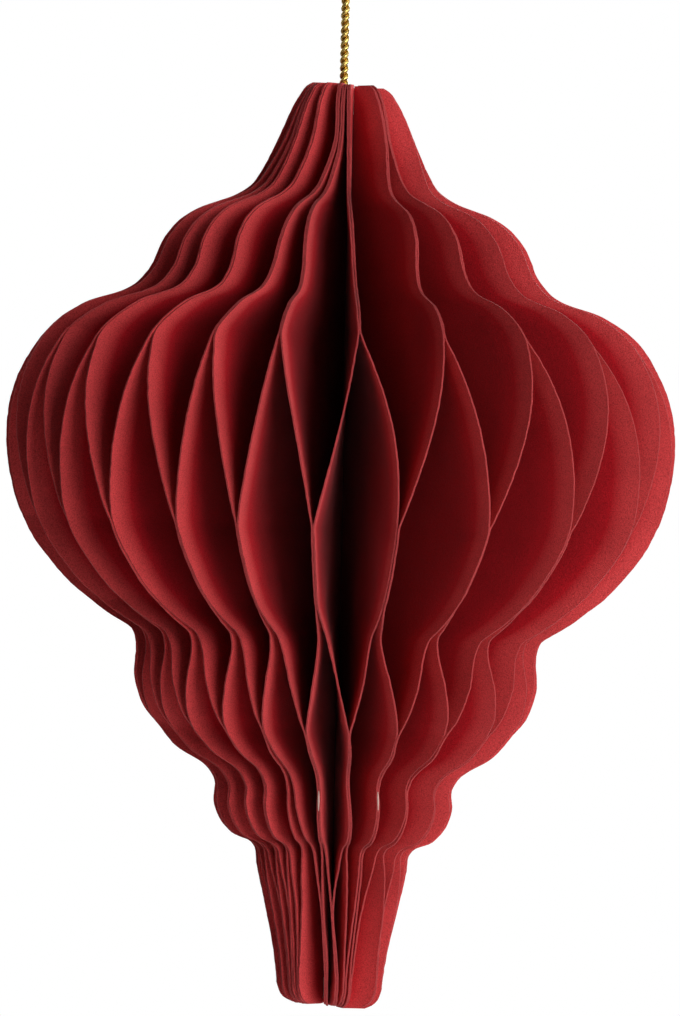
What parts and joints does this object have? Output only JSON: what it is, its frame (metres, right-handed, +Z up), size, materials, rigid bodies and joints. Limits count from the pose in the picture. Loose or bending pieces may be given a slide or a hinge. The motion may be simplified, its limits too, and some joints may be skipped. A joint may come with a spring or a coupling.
{
  "type": "honeycomb paper ornament",
  "caption": "Hanging honeycomb paper ornament: lantern-shaped half-profile leaves round a slim spine, glued in alternating bands, on a twisted gold cord with a knot and a small loop.",
  "frame": {"origin": "hanging point: the underside of the crown of the cord's loop", "axes": "+Z up along the spine, away from the ornament; -Y is the front of the picture; +X to the right"},
  "size_m": [0.0872, 0.0871, 0.1596],
  "materials": {
    "red_paper": "matte, uncoated deep red card with a fine grain",
    "pale_binding": "matte, pale thread and dried glue",
    "gold_cord": "metallic gold twisted cord"
  },
  "bodies": {
    "root": {"leaf_01": "red_paper", "leaf_02": "red_paper", "leaf_03": "red_paper", "leaf_04": "red_paper", "leaf_05": "red_paper", "leaf_06": "red_paper", "leaf_07": "red_paper", "leaf_08": "red_paper", "leaf_09": "red_paper", "leaf_10": "red_paper", "leaf_11": "red_paper", "leaf_12": "red_paper", "leaf_13": "red_paper", "leaf_14": "red_paper", "leaf_15": "red_paper", "leaf_16": "red_paper", "leaf_17": "red_paper", "leaf_18": "red_paper", "leaf_19": "red_paper", "leaf_20": "red_paper", "leaf_21": "red_paper", "leaf_22": "red_paper", "leaf_23": "red_paper", "leaf_24": "red_paper", "leaf_25": "red_paper", "leaf_26": "red_paper", "leaf_27": "red_paper", "leaf_28": "red_paper", "leaf_29": "red_paper", "leaf_30": "red_paper", "leaf_31": "red_paper", "leaf_32": "red_paper", "leaf_33": "red_paper", "leaf_34": "red_paper", "leaf_35": "red_paper", "leaf_36": "red_paper", "leaf_37": "red_paper", "leaf_38": "red_paper", "leaf_39": "red_paper", "leaf_40": "red_paper", "leaf_41": "red_paper", "leaf_42": "red_paper", "leaf_43": "red_paper", "leaf_44": "red_paper", "spine_binding": "pale_binding", "hanging_cord": "gold_cord", "loop_knot": "gold_cord", "cord_loop": "gold_cord"}
  },
  "joints": []
}
